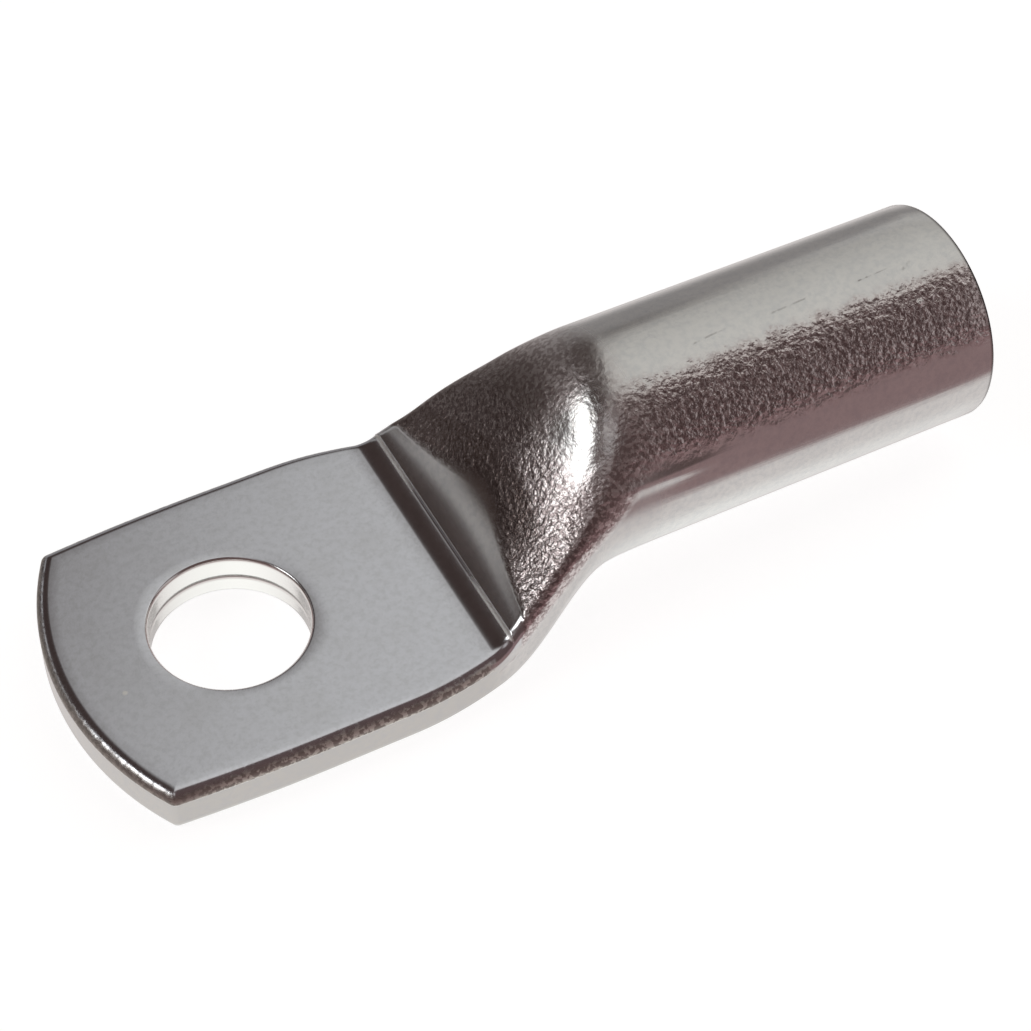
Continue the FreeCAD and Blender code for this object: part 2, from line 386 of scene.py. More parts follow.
def hole_wall_line(mouth):
    """Radius and height of the hole's wall from top to bottom, with its breaks and the seam."""
    turn = np.linspace(0, math.pi / 2, RIM_STEPS + 1)
    line = []
    for angle in turn:
        z = PALM_THICKNESS - HOLE_BREAK * (1 - math.cos(angle))
        line.append((mouth - HOLE_BREAK * math.sin(angle), z))
    for z in np.linspace(PALM_THICKNESS - HOLE_BREAK, HOLE_BREAK, WALL_STEPS + 1)[1:-1]:
        seam = SEAM_DEPTH * math.exp(-(((z - SEAM_Z) / SEAM_HALF_WIDTH) ** 2))
        line.append((HOLE_RADIUS + seam, z))
    for angle in turn:
        line.append((mouth - HOLE_BREAK * math.cos(angle), HOLE_BREAK * (1 - math.sin(angle))))
    return line


def palm(shell, neck):
    """The palm, from the section where the transition starts."""
    line_top = np.concatenate([-neck[TOP_COUNT::-1, 0], neck[1 : TOP_COUNT + 1, 0]])
    low = neck[-TOP_COUNT - 1 :, 0]
    line_bottom = np.concatenate([-low, low[-2::-1]])
    outer = palm_edge(0.0)
    upper = palm_edge(TOP_RADIUS)
    lower = palm_edge(UNDERSIDE_RADIUS)
    rows = []
    for stand, z in edge_profile():
        plan = outer
        if z > PALM_THICKNESS - TOP_RADIUS:
            plan = upper + (outer - upper) * stand / TOP_RADIUS
        elif z < UNDERSIDE_RADIUS:
            plan = outer + (lower - outer) * (TOP_RADIUS - stand) / UNDERSIDE_RADIUS
        rows.append(np.column_stack([plan, np.full(len(plan), z)]))
    for row, (y, z) in zip(rows, neck[TOP_COUNT : TOP_COUNT + SIDE_COUNT + 1]):
        row[0] = (PALM_FLAT_END_X, y, z)
        row[-1] = (PALM_FLAT_END_X, -y, z)
    shell.grid(rows)
    mouth = HOLE_RADIUS + HOLE_BREAK
    top_rays = flat(shell, rows[0][:, :2], line_top, PALM_THICKNESS, mouth)
    low_rays = flat(shell, rows[-1][:, :2], line_bottom, 0.0, mouth)
    wall = hole_wall_line(mouth)
    rows = []
    for share, (radius, z) in zip(np.linspace(0, 1, len(wall)), wall):
        ray = top_rays + (low_rays - top_rays) * share
        ray /= np.hypot(ray[:, 0], ray[:, 1])[:, None]
        rows.append(np.column_stack([radius * ray, np.full(len(ray), z)]))
    shell.grid(rows[::-1], closed=True)


def tube(shell, neck):
    """Transition, barrel, open end and hollow, as one run of closed sections."""
    stations = np.concatenate([
        np.linspace(PALM_FLAT_END_X, HEEL_END_X, HEEL_STEPS + 1)[1:],
        [(HEEL_END_X + FACE_START_X) / 2, FACE_START_X],
        np.linspace(FACE_START_X, FACE_STEPS_END_X, FACE_STEPS + 1)[1:],
        np.linspace(FACE_STEPS_END_X, BARREL_START_X, CROWN_STEPS + 1)[1:],
    ])
    rows = [loop(PALM_FLAT_END_X, neck)]
    for x in stations:
        rows.append(loop(x, section(x)))
    last = section(BARREL_START_X)
    for x in np.linspace(BARREL_START_X, OPEN_END_X - OPEN_END_BREAK, BARREL_STEPS + 1)[1:]:
        rows.append(loop(x, last))
    axis = np.array([0.0, TUBE_RADIUS])
    mouth = BORE_RADIUS + BORE_CHAMFER
    end = [
        (OPEN_END_X - BREAK_MIDDLE[0], TUBE_RADIUS - BREAK_MIDDLE[1]),
        (OPEN_END_X, TUBE_RADIUS - OPEN_END_BREAK),
        (OPEN_END_X, TUBE_RADIUS - OPEN_END_BREAK - HEM_WIDTH),
        (OPEN_END_X, mouth + HEM_WIDTH),
        (OPEN_END_X, mouth),
        (OPEN_END_X - BORE_CHAMFER, BORE_RADIUS),
    ]
    for x in np.linspace(OPEN_END_X - BORE_CHAMFER, BARREL_START_X, BORE_STEPS + 1)[1:]:
        end.append((x, BORE_RADIUS))
    for x, radius in end:
        rows.append(loop(x, axis + (last - axis) * radius / TUBE_RADIUS))
    bore = (last - axis) / TUBE_RADIUS
    for x in np.linspace(BARREL_START_X, HOLLOW_END_X, HOLLOW_STEPS + 1)[1:]:
        half, height, *_ = section_shape(x)
        opening = BORE_RADIUS * ramp(RISE_START_X, BARREL_START_X, x)
        inner = [bore[:, 0] * (half - WALL), bore[:, 1] * opening + height / 2]
        rows.append(loop(x, np.column_stack(inner)))
    shell.grid(rows, closed=True)
    close_hollow(shell, rows[-1])


def close_hollow(shell, lip):
    """Closes the hollow's end between the upper and the lower half of its last section."""
    half_count = len(lip) // 2
    quarter = half_count // 2
    ring = np.concatenate([lip, lip])
    upper = ring[3 * quarter : 3 * quarter + half_count + 1]
    lower = ring[quarter : quarter + half_count + 1][::-1]
    shell.grid([upper, lower])


def lug_mesh():
    shell = Shell()
    neck = section(PALM_FLAT_END_X)
    neck[: TOP_COUNT + 1, 1] = PALM_THICKNESS
    neck[-TOP_COUNT - 1 :, 1] = 0.0
    palm(shell, neck)
    tube(shell, neck)
    return shell.joined()


def die_margins(points):
    """How far the pressed tube's own top would stand above the die at each point, in mm."""
    margins = np.full(len(points), -MARGIN_LIMIT)
    stations = np.round(points[:, 0], STATION_DECIMALS)
    x_values, place = np.unique(stations, return_inverse=True)
    place = place.reshape(-1)
    for number, x in enumerate(x_values):
        if not PALM_FLAT_END_X < x < MARGIN_END_X:
            continue
        chosen = np.nonzero(place == number)[0]
        half, height, *_ = section_shape(x)
        lowest = min(height, die_height(x)) * MARGIN_FROM_SHARE
        chosen = chosen[points[chosen, 2] > lowest]
        y = np.minimum(np.abs(points[chosen, 1]), half)
        margin = natural_top(y, x)[0] - die_top(y, x)
        margins[chosen] = np.clip(margin, -MARGIN_LIMIT, MARGIN_LIMIT)
    margins[points[:, 0] <= PALM_FLAT_END_X] = MARGIN_LIMIT
    return margins


def on_rounded_edge(points):
    """Which points lie on the rounding of the palm's upper edge."""
    x, y, z = points.T
    below_top = (z > PALM_THICKNESS - TOP_RADIUS) & (z < PALM_THICKNESS - EDGE_BELOW_TOP)
    return (x < PALM_FLAT_END_X) & below_top & (np.hypot(x, y) > HOLE_RADIUS + EDGE_FROM_HOLE)


def build_lug():
    points, rings = lug_mesh()
    mesh = bpy.data.meshes.new("cable_lug_fine")
    mesh.from_pydata((points * MM).tolist(), [], rings)
    mesh.polygons.foreach_set("use_smooth", [True] * len(mesh.polygons))
    attributes = {
        "die_margin": die_margins(points),
        "rounded_edge": on_rounded_edge(points).astype(float),
    }
    for name, values in attributes.items():
        attribute = mesh.attributes.new(name, "FLOAT", "POINT")
        attribute.data.foreach_set("value", values)
    piece = bpy.data.objects.new("cable_lug_fine", mesh)
    scene.collection.objects.link(piece)
    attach(piece, "root")
    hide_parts("cable_lug")
    return piece


class Graph:
    """Short ways to add shader nodes to a tree."""

    def __init__(self, tree):
        self.tree = tree
        tree.nodes.clear()

    def put(self, value, socket):
        if isinstance(value, bpy.types.NodeSocket):
            self.tree.links.new(value, socket)
        else:
            socket.default_value = value

    def node(self, kind, **settings):
        node = self.tree.nodes.new(kind)
        for name, value in settings.items():
            setattr(node, name, value)
        return node

    def filled(self, kind, inputs, **settings):
        """A new node with values or links at these inputs."""
        node = self.node(kind, **settings)
        for key, value in inputs.items():
            self.put(value, node.inputs[key])
        return node

    def attribute(self, name):
        return self.node("ShaderNodeAttribute", attribute_name=name).outputs["Fac"]

    def math(self, operation, *values):
        node = self.filled("ShaderNodeMath", dict(enumerate(values)), operation=operation)
        return node.outputs[0]

    def minus(self, a, b):
        return self.math("SUBTRACT", a, b)

    def add(self, *values):
        total = values[0]
        for value in values[1:]:
            total = self.math("ADD", total, value)
        return total

    def times(self, *values):
        total = values[0]
        for value in values[1:]:
            total = self.math("MULTIPLY", total, value)
        return total

    def step(self, value, low, high, to_low=0.0, to_high=1.0):
        """Smooth step between two values, which may fall as well as rise."""
        if isinstance(low, float) and low > high:
            low, high, to_low, to_high = high, low, to_high, to_low
        inputs = dict(enumerate((value, low, high, to_low, to_high)))
        node = self.filled("ShaderNodeMapRange", inputs, interpolation_type="SMOOTHSTEP")
        return node.outputs[0]

    def blend(self, share, a, b):
        """Mix of two numbers, which are the node's inputs 2 and 3."""
        node = self.filled("ShaderNodeMix", {0: share, 2: a, 3: b}, data_type="FLOAT")
        return node.outputs[0]

    def colour(self, share, a, b):
        """Mix of two colours, which are the node's inputs 6 and 7."""
        inputs = {0: share}
        for key, value in ((6, a), (7, b)):
            inputs[key] = value if isinstance(value, bpy.types.NodeSocket) else (*value, 1.0)
        return self.filled("ShaderNodeMix", inputs, data_type="RGBA").outputs[2]

    def scaled(self, vector, by):
        inputs = {0: vector, "Scale": by}
        return self.filled("ShaderNodeVectorMath", inputs, operation="SCALE").outputs[0]

    def vector_math(self, operation, a, b):
        return self.filled("ShaderNodeVectorMath", {0: a, 1: b}, operation=operation)

    def vector_add(self, a, b):
        return self.vector_math("ADD", a, b).outputs[0]

    def distance(self, a, b):
        return self.vector_math("DISTANCE", a, b).outputs["Value"]

    def length(self, a, b):
        """Length of the diagonal over two numbers."""
        return self.math("SQRT", self.add(self.times(a, a), self.times(b, b)))

    def vector(self, x, y, z):
        return self.filled("ShaderNodeCombineXYZ", {0: x, 1: y, 2: z}).outputs[0]

    def parts(self, vector):
        return self.filled("ShaderNodeSeparateXYZ", {0: vector}).outputs

    def noise(self, vector, scale, detail=2.0, roughness=0.5):
        inputs = {"Vector": vector, "Scale": scale, "Detail": detail, "Roughness": roughness}
        return self.filled("ShaderNodeTexNoise", inputs).outputs["Fac"]


# Where the tin looks different. Each pair runs from where a mask is 0 to where it is 1: along an
# axis, from a centre, above a line or across the inclined face's edge in mm, or round the barrel
# in degrees from its top.
BARREL_X = (29.0, 35.0)
DIE_EDGE = (-0.1, 0.1)
GRAINY_FROM_X = (PALM_FLAT_END_X, 19.5)
GRAINY_TO_X = (OPEN_END_X - 0.05, OPEN_END_X - 0.25)
BAND_FROM_TURN = (-66.0, -54.0)
BAND_TO_TURN = (-16.0, -27.0)
SHOULDER_FROM = (-0.7, 0.5)
POLISHED_FROM_X = (26.0, 28.5)
POLISHED_TO_X = (33.0, 30.5)
POLISHED_FROM_Y = (-8.0, -6.0)
POLISHED_TO_Y = (0.0, -2.5)
RIM_FROM = (0.0, -0.35)
RIM_FROM_Z = (2.3, 2.9)
RIM_DARK_X = (-6.0, -10.0)
PALM_TOP_X = (22.0, 16.0)
PALM_TOP_Z = (3.7, 4.05)
PALM_SIDE_X = (20.0, 16.0)
PALM_SIDE_Z = (3.3, 3.0)
HOLE_WALL_RADIUS = (6.75, 6.6)
HOLE_WALL_Z = (4.3, 4.2)
SEAM_LINE = (0.16, 0.05)
DULL_MARGIN = (-MARGIN_LIMIT, -1.0)
DULL_MARGIN_Y = (-9.0, -5.0)
DULL_FAR_Y = (-2.0, 1.0)
DULL_FROM_X = (18.5, 20.0)
DULL_TO_X = (31.5, 28.0)
CREASE_FROM_X = (28.5, 31.5)
CREASE_TO_X = (44.0, 33.0)
MOUTH_EDGE_X = (OPEN_END_X - 0.45, OPEN_END_X - 0.2)
MOUTH_EDGE_RADIUS = (9.0, 9.2)
# Painted highlight: bright tin along the top of the step between the heel and the inclined face,
# towards both sides
STEP_HIGHLIGHT_FROM_X = (18.72, 18.84)
STEP_HIGHLIGHT_TO_X = (19.1, 18.96)
STEP_HIGHLIGHT_Y = (3.5, 7.5)
STEP_HIGHLIGHT_Z = (4.55, 4.75)
CROWN_FROM_X = (26.0, 29.5)
CROWN_TO_X = (37.0, 32.0)

# Lines and places that the masks start from
BAND_RAGGEDNESS = 14.0
SHOULDER_SLOPE = 0.77
SHOULDER_START_Z = -11.7
SHOULDER_TOP_Z = 13.4
RIM_BELOW_TOP = 0.42
RIM_RAGGEDNESS = 0.6
CREASE_TURN = 69.0
CREASE_TIGHTNESS = 0.25
HOLE_WALL_TOP_Z = 4.2

# Noise textures: scale, detail and roughness
NOISE_MEAN = 0.5
GRAIN_NOISE = (2.1, 2.0, 0.5)
FINE_NOISE = (7.0, 2.0, 0.6)
BAND_NOISE = (0.9, 3.0)
RIM_NOISE = (1.8, 3.0)
MARKS_NOISE = (1.1, 2.0)
MOTTLE_NOISE = (0.25, 4.0, 0.6)
CLOUD_NOISE = (1.7, 3.0, 0.7)
PITS_NOISE = (2.7, 2.0, 0.5)
DRAWN_NOISE = (1.0, 4.0, 0.65)
DRAWN_STRETCH = (0.05, 0.25)

# Range in which a noise shows, and the shares at its ends where they aren't 0 and 1
MARKS_SHOWN = (0.38, 0.6)
MOTTLE_SHOWN = (0.4, 0.8, 0.0, 0.25)
CLOUD_SHOWN = (0.38, 0.7, 0.0, 0.42)
PITS_SHOWN = (0.56, 0.45)

# Heights of the surface's relief in mm. The shoulders' grain grows from one y to another.
SHOULDER_GRAIN = (-5.5, -8.0, 0.085, 0.13)
BARREL_GRAIN = 0.16
POLISHED_GRAIN_SHARE = 0.3
RIM_GRAIN = 0.035
PALM_GRAIN = 0.0006
ROUGH_FINE_GRAIN = 0.004
PALM_FINE_GRAIN = 0.0016
POLISHED_FINE_GRAIN = 0.022
DRAWN_HEIGHT = 0.012
MARKS_HEIGHT = -0.02
CREASE_HEIGHT = 0.2
HOLE_WALL_TILT = 0.18

# Colours of the tin
TIN = (0.78, 0.78, 0.765)
TIN_PALM_TOP = (0.785, 0.81, 0.872)
TIN_PALM_SIDE = (0.67, 0.665, 0.64)
TIN_MOTTLE = (0.6, 0.605, 0.61)
TIN_CLOUD = (0.6, 0.62, 0.64)
TIN_BRIGHT = (0.95, 0.95, 0.93)
TIN_GRAINY = (0.8, 0.735, 0.73)
TIN_DULL = (0.17, 0.13, 0.118)
TIN_MARKS = (0.3, 0.3, 0.29)
TIN_RIM = (0.85, 0.86, 0.79)
TIN_RIM_DARK = (0.5, 0.46, 0.42)
TIN_RIM_PITS = (0.33, 0.3, 0.27)
TIN_PITS = (0.34, 0.28, 0.275)
TIN_SEAM = (0.25, 0.23, 0.22)
TIN_MOUTH_EDGE = (0.16, 0.15, 0.145)

# Shares of those colours in the mix, on the usual and on the polished surface where there are two
GRAINY_SHARES = (0.9, 0.0)
PITS_SHARES = (0.78, 0.2)
SEAM_SHARE = 0.8
DULL_SHARE = 0.8
DULL_FAR_SHARE = 0.85
RIM_SHARE = 0.85
RIM_PITS_SHARE = 0.9
MARKS_SHARE = 0.5
MOUTH_EDGE_SHARE = 0.8

# Roughness of the smooth tin, of the grainy tin, and what the other surfaces add
SMOOTH_ROUGHNESS = 0.17
GRAINY_ROUGHNESS = (0.25, 0.2)
# Added along the step's painted highlight
STEP_HIGHLIGHT_ROUGHNESS = 0.3
RIM_ROUGHNESS = 0.38
CROWN_ROUGHNESS = 0.14

# Draw marks on the barrel: from x, to x in mm, from turn, to turn, half width in degrees
DRAW_MARKS = [
    (39.6, 43.8, -11.4, -8.9, 0.9),
    (47.4, 52.0, -10.5, -8.9, 0.9),
    (55.8, 59.4, -10.8, -9.4, 0.6),
    (59.9, 61.4, -14.2, -9.8, 1.4),
]
DRAW_MARK_FADE = 0.5

# Small bright specks: centre, radius and height in mm
SPECKS = [((60.27, -5.07, 17.53), 0.36, 0.09), ((-10.04, -2.69, 4.1), 0.3, 0.0)]
SPECK_CORE_SHARE = 0.3


class Surface:
    """The point that is shaded: its place in mm, and masks that say which kind of tin it has and
    where a highlight is painted.
    """

    def __init__(self, g):
        self.g = g
        self.mm = g.scaled(g.node("ShaderNodeTexCoord").outputs["Object"], 1 / MM)
        self.x, self.y, self.z = g.parts(self.mm)
        self.margin = g.attribute("die_margin")
        self.turn = g.times(g.math("ARCTAN2", self.y, g.minus(self.z, TUBE_RADIUS)), DEGREES)
        self.bent = g.minus(1.0, g.step(self.margin, *DIE_EDGE))
        self.on_barrel = g.step(self.x, *BARREL_X)
        self.before_mouth = g.step(self.x, *GRAINY_TO_X)
        self.grainy = self.grainy_mask()
        self.polished = self.box_mask(
            (self.x, POLISHED_FROM_X),
            (self.x, POLISHED_TO_X),
            (self.y, POLISHED_FROM_Y),
            (self.y, POLISHED_TO_Y),
        )
        self.rim = self.rim_mask()
        from_hole = g.length(self.x, self.y)
        self.hole_wall = self.box_mask((from_hole, HOLE_WALL_RADIUS), (self.z, HOLE_WALL_Z))
        shown = g.step(g.noise(self.mm, *MARKS_NOISE), *MARKS_SHOWN)
        self.marks = g.times(self.draw_marks(), shown)
        self.specks, self.speck_heights = self.speck_masks()
        # Painted highlight: bright tin along the top of the step between the heel and the inclined
        # face
        self.step_highlight = self.box_mask(
            (self.x, STEP_HIGHLIGHT_FROM_X),
            (self.x, STEP_HIGHLIGHT_TO_X),
            (g.math("ABSOLUTE", self.y), STEP_HIGHLIGHT_Y),
            (self.z, STEP_HIGHLIGHT_Z),
        )

    def box_mask(self, *borders):
        """Product of the smooth steps across some borders."""
        return self.g.times(*[self.g.step(value, *border) for value, border in borders])

    def grainy_mask(self):
        """Where the tin is grainy: the bent shoulders, and a ragged band along the barrel."""
        g = self.g
        uneven = g.minus(g.noise(self.mm, *BAND_NOISE), NOISE_MEAN)
        ragged = g.times(uneven, BAND_RAGGEDNESS)
        ragged_turn = g.add(self.turn, ragged)
        band = self.box_mask((ragged_turn, BAND_FROM_TURN), (ragged_turn, BAND_TO_TURN))
        line = g.add(g.times(self.x, SHOULDER_SLOPE), SHOULDER_START_Z)
        above = g.minus(self.z, g.math("MINIMUM", line, SHOULDER_TOP_Z))
        worn = g.blend(self.on_barrel, g.step(above, *SHOULDER_FROM), band)
        return g.times(self.bent, worn, g.step(self.x, *GRAINY_FROM_X), self.before_mouth)

    def rim_mask(self):
        """The worn strip on the palm's rounded edge, with a ragged upper border."""
        g = self.g
        ragged = g.times(g.noise(self.mm, *RIM_NOISE), RIM_RAGGEDNESS)
        over = g.minus(self.z, g.add(PALM_THICKNESS - RIM_BELOW_TOP, ragged))
        on_edge = g.attribute("rounded_edge")
        return g.times(on_edge, g.step(over, *RIM_FROM), g.step(self.z, *RIM_FROM_Z))

    def draw_marks(self):
        g = self.g
        total = 0.0
        for start, end, first, last, half in DRAW_MARKS:
            slope = (last - first) / (end - start)
            middle = g.add(g.times(g.minus(self.x, start), slope), first)
            off = g.math("ABSOLUTE", g.minus(self.turn, middle))
            fades = (start, start + DRAW_MARK_FADE), (end, end - DRAW_MARK_FADE)
            length = self.box_mask((self.x, fades[0]), (self.x, fades[1]))
            total = g.add(total, g.times(g.step(off, half, 0.0), length))
        return total

    def speck_masks(self):
        """Where the specks are, and how high they stand."""
        g = self.g
        places, heights = 0.0, 0.0
        for centre, radius, height in SPECKS:
            place = g.step(g.distance(self.mm, centre), radius, radius * SPECK_CORE_SHARE)
            places = g.add(places, place)
            heights = g.add(heights, g.times(place, height))
        return places, heights


def relief(g, s):
    """Height of the surface in mm, for the bump."""
    coarse = g.blend(s.on_barrel, g.step(s.y, *SHOULDER_GRAIN), BARREL_GRAIN)
    coarse = g.times(s.grainy, coarse, g.blend(s.polished, 1.0, POLISHED_GRAIN_SHARE))
    coarse = g.add(coarse, g.times(s.rim, RIM_GRAIN))
    height = g.times(g.noise(s.mm, *GRAIN_NOISE), g.add(coarse, PALM_GRAIN))

    grainy_fine = g.blend(s.polished, POLISHED_FINE_GRAIN, ROUGH_FINE_GRAIN)
    fine = g.blend(s.grainy, PALM_FINE_GRAIN, grainy_fine)
    height = g.add(height, g.times(g.noise(s.mm, *FINE_NOISE), fine))

    along_x, round_turn = DRAWN_STRETCH
    stretched = g.vector(g.times(s.x, along_x), g.times(s.turn, round_turn), 0.0)
    drawn = g.times(g.noise(stretched, *DRAWN_NOISE), s.on_barrel, s.before_mouth, DRAWN_HEIGHT)
    height = g.add(height, drawn, g.times(s.marks, MARKS_HEIGHT), s.speck_heights)

    off = g.times(g.add(s.turn, CREASE_TURN), CREASE_TIGHTNESS)
    crease = g.math("EXPONENT", g.times(off, off, -1.0))
    fades = g.step(s.x, *CREASE_FROM_X), g.step(s.x, *CREASE_TO_X)
    height = g.add(height, g.times(crease, *fades, CREASE_HEIGHT))

    tilt = g.times(s.hole_wall, g.minus(s.z, HOLE_WALL_TOP_Z), HOLE_WALL_TILT)
    return g.add(height, tilt)


def clean_tin(g, s):
    """Colour of the smooth tin on the barrel, the palm and the hole's wall."""
    clean = g.colour(s.box_mask((s.x, PALM_TOP_X), (s.z, PALM_TOP_Z)), TIN, TIN_PALM_TOP)
    clean = g.colour(s.box_mask((s.x, PALM_SIDE_X), (s.z, PALM_SIDE_Z)), clean, TIN_PALM_SIDE)
    clean = g.colour(g.step(g.noise(s.mm, *MOTTLE_NOISE), *MOTTLE_SHOWN), clean, TIN_MOTTLE)
    clean = g.colour(g.step(g.noise(s.mm, *CLOUD_NOISE), *CLOUD_SHOWN), clean, TIN_CLOUD)
    clean = g.colour(s.hole_wall, clean, TIN_BRIGHT)
    seam = g.step(g.math("ABSOLUTE", g.minus(s.z, SEAM_Z)), *SEAM_LINE)
    return g.colour(g.times(s.hole_wall, seam, SEAM_SHARE), clean, TIN_SEAM)


def dull_mask(g, s):
    """The far shoulder and the strip along the inclined face's edge, where the tin is dull."""
    dull = s.box_mask((s.margin, DULL_MARGIN), (s.y, DULL_MARGIN_Y))
    dull = g.math("MAXIMUM", dull, g.times(g.step(s.y, *DULL_FAR_Y), DULL_FAR_SHARE))
    return g.times(dull, s.bent, g.step(s.x, *DULL_TO_X), g.step(s.x, *DULL_FROM_X))


def tin_colour(g, s):
    pits = g.step(g.noise(s.mm, *PITS_NOISE), *PITS_SHOWN)
    base = clean_tin(g, s)
    base = g.colour(g.times(s.grainy, g.blend(s.polished, *GRAINY_SHARES)), base, TIN_GRAINY)
    pitted = g.times(s.grainy, pits, g.blend(s.polished, *PITS_SHARES))
    base = g.colour(pitted, base, TIN_PITS)
    base = g.colour(g.times(dull_mask(g, s), DULL_SHARE), base, TIN_DULL)
    rim_tone = g.colour(g.step(s.x, *RIM_DARK_X), TIN_RIM, TIN_RIM_DARK)
    rim_tone = g.colour(g.times(pits, RIM_PITS_SHARE), rim_tone, TIN_RIM_PITS)
    base = g.colour(g.times(s.rim, RIM_SHARE), base, rim_tone)
    base = g.colour(g.times(s.marks, MARKS_SHARE), base, TIN_MARKS)
    from_axis = g.length(s.y, g.minus(s.z, TUBE_RADIUS))
    mouth_edge = s.box_mask((s.x, MOUTH_EDGE_X), (from_axis, MOUTH_EDGE_RADIUS))
    base = g.colour(g.times(mouth_edge, MOUTH_EDGE_SHARE), base, TIN_MOUTH_EDGE)
    # Bright tin on the step's painted highlight and on the specks
    return g.colour(g.math("MAXIMUM", s.step_highlight, s.specks), base, TIN_BRIGHT)


def tin_roughness(g, s):
    roughness = g.blend(s.grainy, SMOOTH_ROUGHNESS, g.blend(s.polished, *GRAINY_ROUGHNESS))
    crown = g.times(s.box_mask((s.x, CROWN_FROM_X), (s.x, CROWN_TO_X)), g.minus(1.0, s.polished))
    return g.add(
        roughness,
        # Rougher along the step's painted highlight
        g.times(s.step_highlight, STEP_HIGHLIGHT_ROUGHNESS),
        g.times(s.rim, RIM_ROUGHNESS),
        g.times(crown, CROWN_ROUGHNESS),
    )


def tin_material():
    """Tin plated copper: satin where the dies coined it, grainy where the tube was only bent."""
    material = bpy.data.materials.new("tinned_copper")
    material.use_nodes = True
    g = Graph(material.node_tree)
    surface = Surface(g)
    bump = {"Strength": 1.0, "Distance": MM, "Height": relief(g, surface)}
    shader = g.filled("ShaderNodeBsdfPrincipled", {
        "Base Color": tin_colour(g, surface),
        "Metallic": 1.0,
        "Roughness": tin_roughness(g, surface),
        "Normal": g.filled("ShaderNodeBump", bump).outputs[0],
    })
    g.filled("ShaderNodeOutputMaterial", {0: shader.outputs[0]})
    return material


# Colours of the light
BROWN_DARK = (1.36, 0.93, 0.83)
PURPLE_DARK = (1.36, 0.91, 0.95)
NEUTRAL = (1.0, 1.0, 1.0)
PALE = (1.0, 1.0, 0.965)
WHITE = (1.0, 1.0, 1.0, 1.0)

# Levels of the dark room round the lug, of its camera side and of the table's edge
ROOM_LEVEL = 0.036
CAMERA_SIDE_LEVEL = 0.04
TABLE_LEVEL = 0.12

# Colours of the white sheet that the lug lies on, seen from the side and from straight above, and
# how much brighter it is on the left
SHEET_SIDE = (0.72, 0.68, 0.67)
SHEET_UNDER = (1.0, 1.0, 0.98)
SHEET_LEFT_SHARE = 1.05

# Borders in the room, by direction or by elevation in degrees, each from mask 0 to mask 1
BEHIND_Y = (-0.1, 0.5)
CAMERA_SIDE_Y = (0.2, -0.2)
SHEET_LEFT_X = (0.1, -0.3)
TABLE_ELEVATION = (9.0, -1.0)
SHEET_UNDER_ELEVATION = (-50.0, -75.0)

# Elevation up to which the sheet is full, and where it ends: on the camera's side and behind
SHEET_FULL = (-40.0, -30.0)
SHEET_END = (-33.0, -8.0)

# Long panel overhead, in a plane one unit up: borders there and in elevation, and levels
OVERHEAD_LEVEL = 0.51
OVERHEAD_LEAST_UP = 0.02
OVERHEAD_SLANT = -0.6
OVERHEAD_SHIFT = 0.45
OVERHEAD_LEFT = (-0.06, 0.38)
OVERHEAD_NEAR = (-0.17, -0.07)
OVERHEAD_LOW = (4.0, 30.0, 0.35, 1.0)
OVERHEAD_HORIZON = (-2.0, 6.0)
OVERHEAD_FAR = (-0.1, 1.5)
OVERHEAD_FAR_SHARES = (1.14, 0.86)

# Soft patches of light: middle and half width in azimuth from +X, the same in elevation, width of
# the soft border, all in degrees, and level
PATCHES = [
    (127.0, 18.0, 17.5, 4.5, 4.0, 0.38),
    (66.0, 42.0, 0.0, 18.0, 14.0, 0.23),
    (170.0, 13.0, 33.0, 9.0, 6.0, 2.8),
    (170.0, 19.0, 30.0, 13.0, 10.0, 0.13),
    (215.0, 20.0, 56.0, 8.0, 12.0, 0.4),
    (339.0, 31.0, 17.0, 18.0, 12.0, 0.3),
]


def room_light(g, x, y, elevation):
    """Dark room with the white sheet below."""
    camera_side = g.step(y, *CAMERA_SIDE_Y)
    table = g.times(g.step(elevation, *TABLE_ELEVATION), camera_side)
    light = g.scaled(BROWN_DARK, ROOM_LEVEL)
    side_light = g.scaled(PURPLE_DARK, g.times(camera_side, CAMERA_SIDE_LEVEL))
    light = g.vector_add(light, side_light)
    light = g.vector_add(light, g.scaled(PURPLE_DARK, g.times(table, TABLE_LEVEL)))

    behind = g.step(y, *BEHIND_Y)
    full, end = g.blend(behind, *SHEET_FULL), g.blend(behind, *SHEET_END)
    sheet = g.step(elevation, full, end, 1.0, 0.0)
    level = g.step(x, *SHEET_LEFT_X, 1.0, SHEET_LEFT_SHARE)
    below = g.colour(g.step(elevation, *SHEET_UNDER_ELEVATION), SHEET_SIDE, SHEET_UNDER)
    return g.colour(sheet, light, g.scaled(below, level))


def overhead_light(g, x, y, z, elevation):
    up = g.math("MAXIMUM", z, OVERHEAD_LEAST_UP)
    across = g.math("DIVIDE", x, up)
    back = g.math("DIVIDE", y, up)
    slanted = g.add(across, g.times(back, OVERHEAD_SLANT), OVERHEAD_SHIFT)
    panel = g.times(
        g.step(slanted, *OVERHEAD_LEFT),
        g.step(back, *OVERHEAD_NEAR),
        g.step(elevation, *OVERHEAD_LOW),
        g.step(elevation, *OVERHEAD_HORIZON),
        g.blend(g.step(back, *OVERHEAD_FAR), *OVERHEAD_FAR_SHARES),
    )
    return g.scaled(PALE, g.times(panel, OVERHEAD_LEVEL))


